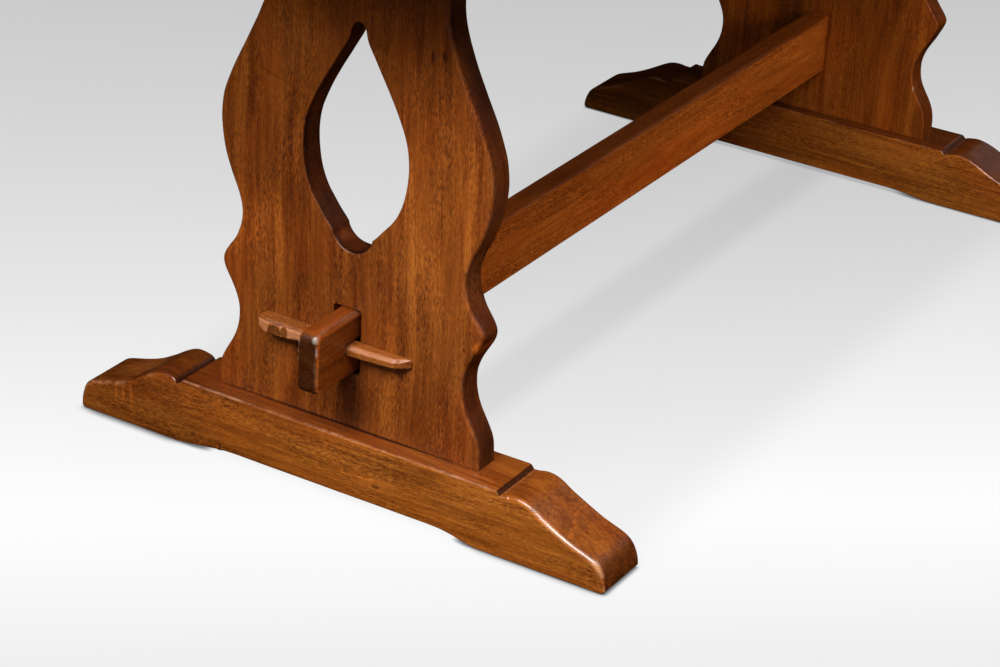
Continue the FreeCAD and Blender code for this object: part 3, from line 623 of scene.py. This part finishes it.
# ------------------------------------------------------------------ end panels
def panel_part(minus, skew=0.0):
    right = smooth_run([(w, z) for z, w in PANEL_HALF], 2.2)
    left = smooth_run([(-w, z) for z, w in reversed(minus)], 2.2)
    out = chain(right, straight_run([right[-1], left[0]], 4.0), left, straight_run([left[-1], right[0]], 4.0))
    # the saw ran out of square round the pointed bump, so it sits a little higher and stands out more on the outer face
    front = [(y + 0.6 * skew * math.exp(-((z - 208.0) / 9.0) ** 2), z + skew * math.exp(-((z - 207.0) / 20.0) ** 2)) if y > 100.0 else (y, z) for y, z in out]
    drop = chain(smooth_run(CUT_UP + CUT_DOWN, 1.6), smooth_run(LOBE, 1.2))[::-1]
    mort = rounded_box_outline(MORTISE_Y[0], MORTISE_Y[1], MORTISE_Z[0], MORTISE_Z[1], (2.6,) * 4, 2.0)[::-1]
    # the mortise narrows towards the shoulder of the stretcher
    mort_in = [(-13.6 + (y - MORTISE_Y[0]) * 26.6 / (MORTISE_Y[1] - MORTISE_Y[0]), z) for y, z in mort]

    def rim(p, seed, top):
        y, z = p
        r = top * (1 + 0.28 * hand(p, 0.025, seed))
        if y > 0 and top > 3.0:
            r += 2.2 * math.exp(-((z - 211.0) / 11.0) ** 2)
        if z < 78 or z > 684:
            r = min(r, 0.4 + 0.45 * min(abs(z - 72), abs(690 - z)))
        return max(r, 0.4)

    def drop_rim(p, seed, top):
        y, z = p
        r = top * (1 + 0.25 * hand(p, 0.04, seed))
        d = min(math.hypot(y - 24.0, z - 278.0), math.hypot(y + 21.4, z - 276.6))
        return max(0.5, min(r, 0.6 + 0.3 * d))
    body = prism([(out, lambda p: rim(p, 2, 1.9), lambda p: rim(p, 5, 4.4), front),
                  (drop, lambda p: drop_rim(p, 4, 1.6), lambda p: drop_rim(p, 6, 1.9)),
                  (mort_in, lambda p: 0.5, lambda p: 0.6, mort)], PANEL_IN, PANEL_OUT, "x", seg=6, sides=4)
    stubs = [block(STUB_X[0], STUB_X[1], s * 75 - 45, s * 75 + 45, z0, z1)
             for s in (-1, 1) for z0, z1 in ((32.0, 73.0), (689.0, 720.0))]
    return merge(body, *stubs)


# ------------------------------------------------------------------ stretcher
def stretcher_part():
    cross = rounded_box_outline(-STR_W, STR_W, STR_Z[0], STR_Z[1], (2.0, 2.2, 5.6, 3.0), 6.0)
    body = prism([(cross, lambda p: 0.5, lambda p: 0.5)], -PANEL_IN, PANEL_IN, "x", seg=3, sides=60)
    # outline of the tenon in (z, x)
    ten = rounded_box_outline(TENON_Z[0], TENON_Z[1], PANEL_IN - 1.0, TENON_END, (0.5, 0.5, 11.0, 9.0), 2.0)
    x0, x1, x2 = SLOT_X
    slot = rounded_box_outline(SLOT_Z[0], SLOT_Z[1], x0, x1, (0.6,) * 4, 1.5)[::-1]
    slot_wide = [(z, x0 + (x - x0) * (x2 - x0) / (x1 - x0)) for z, x in slot]

    def rim(p, seed):
        z, x = p
        top = min(1.0, max(0.0, (z - 175.0) / 20.0))
        r = (4.6 + 1.9 * top) * (1 + 0.12 * hand(p, 0.06, seed))
        return max(0.4, min(r, 0.4 + 0.6 * abs(x - (PANEL_IN - 1.0))))
    tenon = prism([(ten, lambda p: rim(p, 3), lambda p: rim(p, 9)),
                   (slot, lambda p: 0.5, lambda p: 0.6, slot_wide)], TENON_Y[0], TENON_Y[1], "y", seg=6, sides=4)
    return merge(body, tenon, half_turn(tenon))


def stretcher_painted_shade(x, y, z):
    """Painted shade: the top of the rail under the table top, and the cheeks of the tenons, are darkened."""
    if abs(x) < PANEL_IN - 0.8:
        return -0.50 * min(1.0, max(0.0, (z - 195.0) / 5.0))
    if abs(x) > PANEL_IN + 0.1 and min(abs(abs(y) - 12.7), abs(abs(y) - 10.7)) < 0.05:
        return -0.50
    return 0.0


# ------------------------------------------------------------------ tusk keys
def rounded_section(corners, arc=4):
    """Closed section from (x, z, radius, points along the side that follows)."""
    out = []
    n = len(corners)
    for i in range(n):
        a, b, c = Vector(corners[i - 1][:2]), Vector(corners[i][:2]), Vector(corners[(i + 1) % n][:2])
        r = corners[i][2]
        p0 = b + (a - b).normalized() * min(r, (a - b).length * 0.48)
        p1 = b + (c - b).normalized() * min(r, (c - b).length * 0.48)
        for k in range(arc + 1):
            t = k / arc
            out.append(p0 * (1 - t) ** 2 + b * 2 * t * (1 - t) + p1 * t * t)
        d = corners[(i + 1) % n]
        q = Vector(d[:2])
        nxt = q + (b - q).normalized() * min(d[2], (b - q).length * 0.48)
        for k in range(1, corners[i][3] + 1):
            out.append(p1.lerp(nxt, k / (corners[i][3] + 1)))
    return out


def knife(y, z):
    """Depth of the knife cuts on the front of the thick end, and their tone: (depth, shade)."""
    moon = 1 - ((y + 74.6) / 8.0) ** 2 - ((z - 157.2) / 8.6) ** 2
    oval = 1 - ((y + 62.8) / 3.9) ** 2 - ((z - 161.0) / 6.2) ** 2
    if moon > 0:
        return 2.2 * math.sqrt(moon), -0.36
    if oval > 0:
        return 1.3 * math.sqrt(oval), -0.30
    if y < -81.0:
        return 0.0, 0.42
    if -60.5 < y < -41.0 and z < 169.5 - 0.10 * (y + 60.0):
        return 0.0, 0.50
    if -68.5 < y < -65.5:
        return 0.0, 0.36
    return 0.0, 0.0


def key_part():
    front = [(-96.5, 540.4), (-95.6, 543.4), (-93.5, 545.4), (-86.0, 547.2), (-44.0, 547.0), (-8.0, 546.1), (10.3, 545.6),
             (44.0, 543.4), (59.5, 542.0), (62.0, 541.0), (73.6, 531.2), (75.0, 529.9)]
    fy, fx = [q[0] for q in front], [q[1] for q in front]
    ys = np.unique(np.round(np.r_[np.arange(-96.5, -38.0, 0.5), np.arange(-38.0, 58.0, 1.2), np.arange(58.0, 75.0, 0.45), 75.0], 3))
    rings = []
    for y in ys:
        xf = float(np.interp(y, fy, fx))
        # the thick end is trimmed on a slant at the back
        xb = KEY_BACK + max(0.0, -92.5 - y) * 2.4
        zt = KEY_TOP[0] + (KEY_TOP[1] - KEY_TOP[0]) * (y - KEY_Y[0]) / (KEY_Y[1] - KEY_Y[0])
        zt -= 0.35 + 0.35 * hand((y, 0.0), 0.11, 4)
        zb = KEY_HEEL + (KEY_Z0 - KEY_HEEL) * min(1.0, max(0.0, (y + 62.0) / 20.0))
        zb += 6.0 * max(0.0, (-83.0 - y) / 13.5) ** 1.6
        end = min(y - KEY_Y[0], KEY_Y[1] - y)
        cut = 1.8 * max(0.0, 1 - end / 2.2) ** 2
        zt, zb = zt - cut, zb + cut * 0.9
        w = max(xf - xb, 0.9)
        k = min(1.0, w / 9.0)
        # the upper front arris is planed off
        ch = (4.2 - 0.7 * min(1.0, max(0.0, (y + 40.0) / 50.0))) * k
        bk = (0.9 + 0.8 * hand((y, 3.0), 0.13, 9)) * k
        rings.append((y, rounded_section([(xb, zb, 0.7 * k, 2), (xf, zb, 1.7 * k, 9), (xf, zt - ch, 0.9 * k, 4),
                                          (xf - ch * 0.95, zt, 0.9 * k, 5), (xb, zt, 0.5 + max(0.0, bk), 2)])))
    n_sec = len(rings[0][1])
    verts, wear, key_shade = [], [], []
    for y, sec in rings:
        xs = [q.x for q in sec]
        x_front = max(xs)
        for i, q in enumerate(sec):
            x, z = q.x, q.y
            sh, we = 0.0, 0.0
            if y < -41.0 and x > x_front - 1.4:
                depth, sh = knife(y, z)
                x -= depth
            # painted highlight: the planed chamfer of the thin end is made paler
            elif y > 12.0 and x > x_front - 5.0 and z > 163.0 and i > n_sec * 0.5 and i < n_sec * 0.82:
                sh = 0.22
            verts.append((x, y, z))
            wear.append(we)
            key_shade.append(sh)
    faces = []
    m = len(rings)
    for a in range(m - 1):
        for k in range(n_sec):
            j = (k + 1) % n_sec
            faces.append((a * n_sec + k, (a + 1) * n_sec + k, (a + 1) * n_sec + j, a * n_sec + j))
    faces.append(tuple(range(n_sec)))
    faces.append(tuple((m - 1) * n_sec + k for k in reversed(range(n_sec))))
    return (verts, faces, wear), key_shade


key_p, key_tone = key_part()
made = []


def put(name, part, material, node, body, angle=32, shade=None):
    ob = make_object(name, part, material, angle, shade)
    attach(ob, body)
    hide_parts(node)
    made.append(ob)
    return ob


put("foot_near_shaped", foot_part(TOE_PLUS, TOE_MINUS, FOOT_FLAT, ARCH_PLUS, ARCH_MINUS, True), wood_foot_near, "foot_near", "table",
    shade=notch_painted_shade((184.5, 191.0), (187.5, 191.0), -0.95, -0.8))
put("foot_far_shaped", half_turn(foot_part(FAR_TOE_PLUS, FAR_TOE_MINUS, FAR_FLAT, FAR_ARCH_PLUS, FAR_ARCH_MINUS, False)), wood_foot_far, "foot_far", "table",
    shade=notch_painted_shade((187.5, 191.0), (187.3, 191.2), -0.4, -0.6))
put("end_panel_near_shaped", panel_part(PANEL_HALF, 4.5), wood_panel_near, "end_panel_near", "table")
put("end_panel_far_shaped", half_turn(panel_part(BIG_BUMP)), wood_panel_far, "end_panel_far", "table")
put("stretcher_shaped", stretcher_part(), wood_stretcher, "stretcher", "table", shade=stretcher_painted_shade)
tones = iter(key_tone + key_tone)
put("tusk_key_near_whittled", key_p, wood_key_near, "tusk_key_near", "key_near", 44, lambda x, y, z: next(tones))
put("tusk_key_far_whittled", half_turn(key_p), wood_key_far, "tusk_key_far", "key_far", 44, lambda x, y, z: next(tones))

# ------------------------------------------------------------------ the CAD pieces that stay: top, bearers, pegs, screws
for i in range(5):
    mat = wood("wood_board_%d" % (i + 1), "x", 11.0 + 2.7 * i, RED)
    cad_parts["top_board_%d" % (i + 1)].data.materials.clear()
    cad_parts["top_board_%d" % (i + 1)].data.materials.append(mat)
for k, (end, seed) in enumerate((("near", 31.0), ("far", 37.0))):
    for node, mat in (("breadboard_end_" + end, wood("wood_breadboard_" + end, "y", seed, RED)),
                      ("top_bearer_" + end, wood("wood_bearer_" + end, "y", seed + 5, GOLD)),
                      ("breadboard_pegs_" + end, wood("wood_pegs_" + end, "z", seed + 9, GOLD))):
        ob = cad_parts[node]
        ob.data.materials.clear()
        ob.data.materials.append(mat)


def steel(name):
    m = bpy.data.materials.new(name)
    m.use_nodes = True
    nt = m.node_tree
    b = nt.nodes["Principled BSDF"]
    b.inputs["Metallic"].default_value = 1.0
    t = nt.nodes.new("ShaderNodeTexNoise")
    t.inputs["Scale"].default_value = 900.0
    r = nt.nodes.new("ShaderNodeValToRGB")
    r.color_ramp.elements[0].color = (0.20, 0.18, 0.15, 1)
    r.color_ramp.elements[1].color = (0.52, 0.50, 0.46, 1)
    c = nt.nodes.new("ShaderNodeTexCoord")
    nt.links.new(c.outputs["Object"], t.inputs["Vector"])
    nt.links.new(t.outputs[0], r.inputs[0])
    nt.links.new(r.outputs[0], b.inputs["Base Color"])
    b.inputs["Roughness"].default_value = 0.38
    return m


screw_mat = steel("screw_steel_aged")
for end in ("near", "far"):
    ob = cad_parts["bearer_screws_" + end]
    ob.data.materials.clear()
    ob.data.materials.append(screw_mat)

# ------------------------------------------------------------------ floor
def pale_floor():
    """Pale sweep with painted light and shade: brightest in front of the table, falling off to the back, with painted
    soft shadows under the table and painted contact shadows at the feet.
    """
    m = bpy.data.materials.new("pale_floor")
    m.use_nodes = True
    nt = m.node_tree
    N, L = nt.nodes, nt.links
    bsdf = N["Principled BSDF"]

    def math_node(op, a, b=None):
        n = N.new("ShaderNodeMath")
        n.operation = op
        for sock, q in zip(n.inputs, (a, b)):
            if isinstance(q, (int, float)):
                sock.default_value = q
            elif q is not None:
                L.new(q, sock)
        return n.outputs[0]

    def ease(x, a, b, c, d):
        n = N.new("ShaderNodeMapRange")
        n.interpolation_type = "SMOOTHSTEP"
        L.new(x, n.inputs[0])
        for i, q in enumerate((a, b, c, d)):
            n.inputs[i + 1].default_value = q
        return n.outputs[0]

    coord = N.new("ShaderNodeTexCoord")
    sep = N.new("ShaderNodeSeparateXYZ")
    L.new(coord.outputs["Object"], sep.inputs[0])
    depth = math_node("ADD", math_node("MULTIPLY", sep.outputs["X"], 0.793), math_node("MULTIPLY", sep.outputs["Y"], 0.609))
    ramp = N.new("ShaderNodeValToRGB")
    L.new(math_node("DIVIDE", math_node("ADD", depth, 1.4), 3.0), ramp.inputs[0])
    stops = ((-1.40, 0.51), (-0.93, 0.580), (-0.60, 0.634), (-0.28, 0.704), (0.0, 0.786), (0.234, 0.868), (0.40, 0.930),
             (0.45, 0.943), (0.50, 0.940), (0.63, 0.880), (0.73, 0.822), (1.60, 0.88))
    els = ramp.color_ramp.elements
    for e, (d, v) in ((els[0], stops[0]), (els[1], stops[-1])):
        e.position, e.color = (d + 1.4) / 3.0, (v, v, v, 1)
    for d, v in stops[1:-1]:
        els.new((d + 1.4) / 3.0).color = (v, v, v, 1)
    across = math_node("ABSOLUTE", sep.outputs["Y"])
    along = math_node("ABSOLUTE", sep.outputs["X"])
    # painted soft shadows of the table top and of the stretcher
    under = math_node("MULTIPLY", ease(across, 0.245, 0.335, 1.0, 0.0), ease(along, 0.50, 0.56, 1.0, 0.0))
    rail = math_node("MULTIPLY", ease(math_node("ABSOLUTE", math_node("SUBTRACT", sep.outputs["Y"], 0.008)), 0.014, 0.052, 1.0, 0.0),
                     ease(along, 0.50, 0.56, 1.0, 0.0))
    shade = math_node("MULTIPLY", math_node("SUBTRACT", 1.0, math_node("MULTIPLY", under, 0.112)),
                      math_node("SUBTRACT", 1.0, math_node("MULTIPLY", rail, 0.110)))
    # a painted shadow along the front of the near foot, clear of its pads
    front = math_node("MULTIPLY", math_node("MULTIPLY", ease(sep.outputs["X"], 0.548, 0.561, 1.0, 0.0), ease(sep.outputs["X"], 0.520, 0.540, 0.0, 1.0)),
                      ease(sep.outputs["Y"], -0.318, 0.30, 1.0, 0.35))
    front = math_node("MULTIPLY", front, ease(across, 0.29, 0.322, 1.0, 0.0))
    pads = math_node("ADD", ease(sep.outputs["Y"], -0.205, -0.175, 1.0, 0.0), ease(sep.outputs["Y"], 0.15, 0.18, 0.0, 1.0))
    front = math_node("MULTIPLY", front, pads)
    shade = math_node("MULTIPLY", shade, math_node("SUBTRACT", 1.0, math_node("MULTIPLY", front, 0.68)))
    lit = N.new("ShaderNodeMix")
    lit.data_type, lit.blend_type = "RGBA", "MULTIPLY"
    lit.inputs[0].default_value = 1.0
    L.new(ramp.outputs[0], lit.inputs[6])
    L.new(shade, lit.inputs[7])
    # the pool of light round the table fades into an even grey
    reach = math_node("SQRT", math_node("ADD", math_node("MULTIPLY", sep.outputs["X"], sep.outputs["X"]),
                                        math_node("MULTIPLY", sep.outputs["Y"], sep.outputs["Y"])))
    around = N.new("ShaderNodeMix")
    around.data_type = "RGBA"
    L.new(ease(reach, 1.26, 2.5, 0.0, 1.0), around.inputs[0])
    L.new(lit.outputs[2], around.inputs[6])
    around.inputs[7].default_value = (0.64, 0.64, 0.64, 1)
    # painted contact shadow where the feet stand on the floor
    near = N.new("ShaderNodeAmbientOcclusion")
    near.samples = 12
    near.inputs["Distance"].default_value = 0.006
    contact_shadow = N.new("ShaderNodeMix")
    contact_shadow.data_type = "RGBA"
    L.new(ease(near.outputs["AO"], 0.30, 0.95, 0.0, 1.0), contact_shadow.inputs[0])
    contact_shadow.inputs[6].default_value = (0.16, 0.18, 0.20, 1)
    L.new(around.outputs[2], contact_shadow.inputs[7])
    bsdf.inputs["Base Color"].default_value = (0.02, 0.02, 0.02, 1)
    bsdf.inputs["Roughness"].default_value = 0.9
    bsdf.inputs["Specular IOR Level"].default_value = 0.0
    L.new(contact_shadow.outputs[2], bsdf.inputs["Emission Color"])
    bsdf.inputs["Emission Strength"].default_value = 1.0
    return m


fme = bpy.data.meshes.new("floor")
S = 25.0
fme.from_pydata([(-S, -S, 0), (S, -S, 0), (S, S, 0), (-S, S, 0)], [], [(0, 1, 2, 3)])
floor = bpy.data.objects.new("floor", fme)
scene.collection.objects.link(floor)
fme.materials.append(pale_floor())
floor.visible_diffuse = False
floor.visible_glossy = False

# ------------------------------------------------------------------ light
world = bpy.data.worlds.new("studio")
scene.world = world
world.use_nodes = True
bg = world.node_tree.nodes["Background"]
bg.inputs[0].default_value = (1.0, 0.86, 0.6, 1)
world.cycles_visibility.glossy = False
bg.inputs[1].default_value = 0.04
pale = world.node_tree.nodes.new("ShaderNodeBackground")
pale.inputs[0].default_value = (0.56, 0.56, 0.56, 1)
seen = world.node_tree.nodes.new("ShaderNodeLightPath")
both = world.node_tree.nodes.new("ShaderNodeMixShader")
world.node_tree.links.new(seen.outputs["Is Camera Ray"], both.inputs[0])
world.node_tree.links.new(bg.outputs[0], both.inputs[1])
world.node_tree.links.new(pale.outputs[0], both.inputs[2])
world.node_tree.links.new(both.outputs[0], world.node_tree.nodes["World Output"].inputs[0])


def softbox(name, target, azimuth, elevation, distance, size, watts, colour=(1, 1, 1)):
    """azimuth is measured in the floor plane from +X towards +Y."""
    a, e = math.radians(azimuth), math.radians(elevation)
    d = Vector((math.cos(a) * math.cos(e), math.sin(a) * math.cos(e), math.sin(e)))
    li = bpy.data.lights.new(name, "AREA")
    li.shape = "RECTANGLE"
    li.size, li.size_y = size
    li.energy = watts
    li.color = colour
    ob = bpy.data.objects.new(name, li)
    ob.location = Vector(target) + d * distance
    ob.rotation_mode = "QUATERNION"
    ob.rotation_quaternion = (-d).to_track_quat("-Z", "Y")
    ob.visible_camera = False
    scene.collection.objects.link(ob)
    return ob


softbox("key", (0.45, 0.0, 0.25), -8, 43.9, 3.2, (1.1, 0.9), 110, (1.0, 0.98, 0.94))
softbox("high", (0.45, 0.0, 0.25), 3, 56, 3.2, (1.0, 0.8), 26, (1.0, 0.98, 0.94))
softbox("right", (0.45, 0.0, 0.25), 50, 55, 3.2, (1.0, 0.8), 100, (1.0, 0.98, 0.95))
softbox("side", (0.1, 0.0, 0.2), 97, 48, 3.0, (1.6, 0.7), 46)
softbox("back", (0.0, 0.2, 0.1), 168, 24, 3.4, (2.2, 0.5), 3)
softbox("low", (0.45, 0.0, 0.25), 25, 10, 3.2, (2.0, 0.5), 6, (1.0, 0.9, 0.75))
softbox("overhead", (0.0, 0.0, 0.76), 0, 89, 2.6, (3.0, 2.4), 7)
rear = softbox("rear", (-0.4, 0.0, 0.3), 222, 14, 3.2, (1.6, 1.0), 40)
rear.visible_glossy = False
for name, where, size, watts in (("bounce_front", (1.15, 0.25, 1.0), (0.9, 1.2), 1.2), ("bounce_right", (0.15, 0.75, 1.0), (0.9, 0.7), 2.0)):
    bounce = softbox(name, where, 0, -90, 0.99, size, watts, (1.0, 0.96, 0.90))
    bounce.visible_glossy = False
gridded = softbox("gridded", (-0.45, 0.05, 0.10), 59, 22, 2.43, (0.5, 0.5), 0.45, (1.0, 0.93, 0.82))
gridded.data.spread = math.radians(34)
glint = softbox("glint", (0.45, 0.0, 0.25), 19, 47, 3.2, (0.6, 0.6), 130)
glint.visible_diffuse = False

# ------------------------------------------------------------------ camera
AZ, EL, ROLL = math.radians(120.2298), math.radians(26.7332), math.radians(3.2260)
back = Vector((math.sin(AZ) * math.cos(EL), -math.cos(AZ) * math.cos(EL), math.sin(EL)))
right = Vector((0, 0, 1)).cross(back).normalized()
up = back.cross(right)
right, up = right * math.cos(ROLL) + up * math.sin(ROLL), up * math.cos(ROLL) - right * math.sin(ROLL)
cam = bpy.data.cameras.new("camera")
cam.sensor_fit = "HORIZONTAL"
cam.sensor_width = 36.0
cam.lens = 2950.712 * 36.0 / 1000.0
cam.clip_start, cam.clip_end = 0.1, 100.0
cam.dof.use_dof = False
cam_ob = bpy.data.objects.new("camera", cam)
cam_ob.matrix_world = Matrix(((right.x, up.x, back.x, 2.65435), (right.y, up.y, back.y, 1.40862),
                              (right.z, up.z, back.z, 1.46443), (0, 0, 0, 1)))
scene.collection.objects.link(cam_ob)
scene.camera = cam_ob
scene.view_settings.view_transform = "Standard"
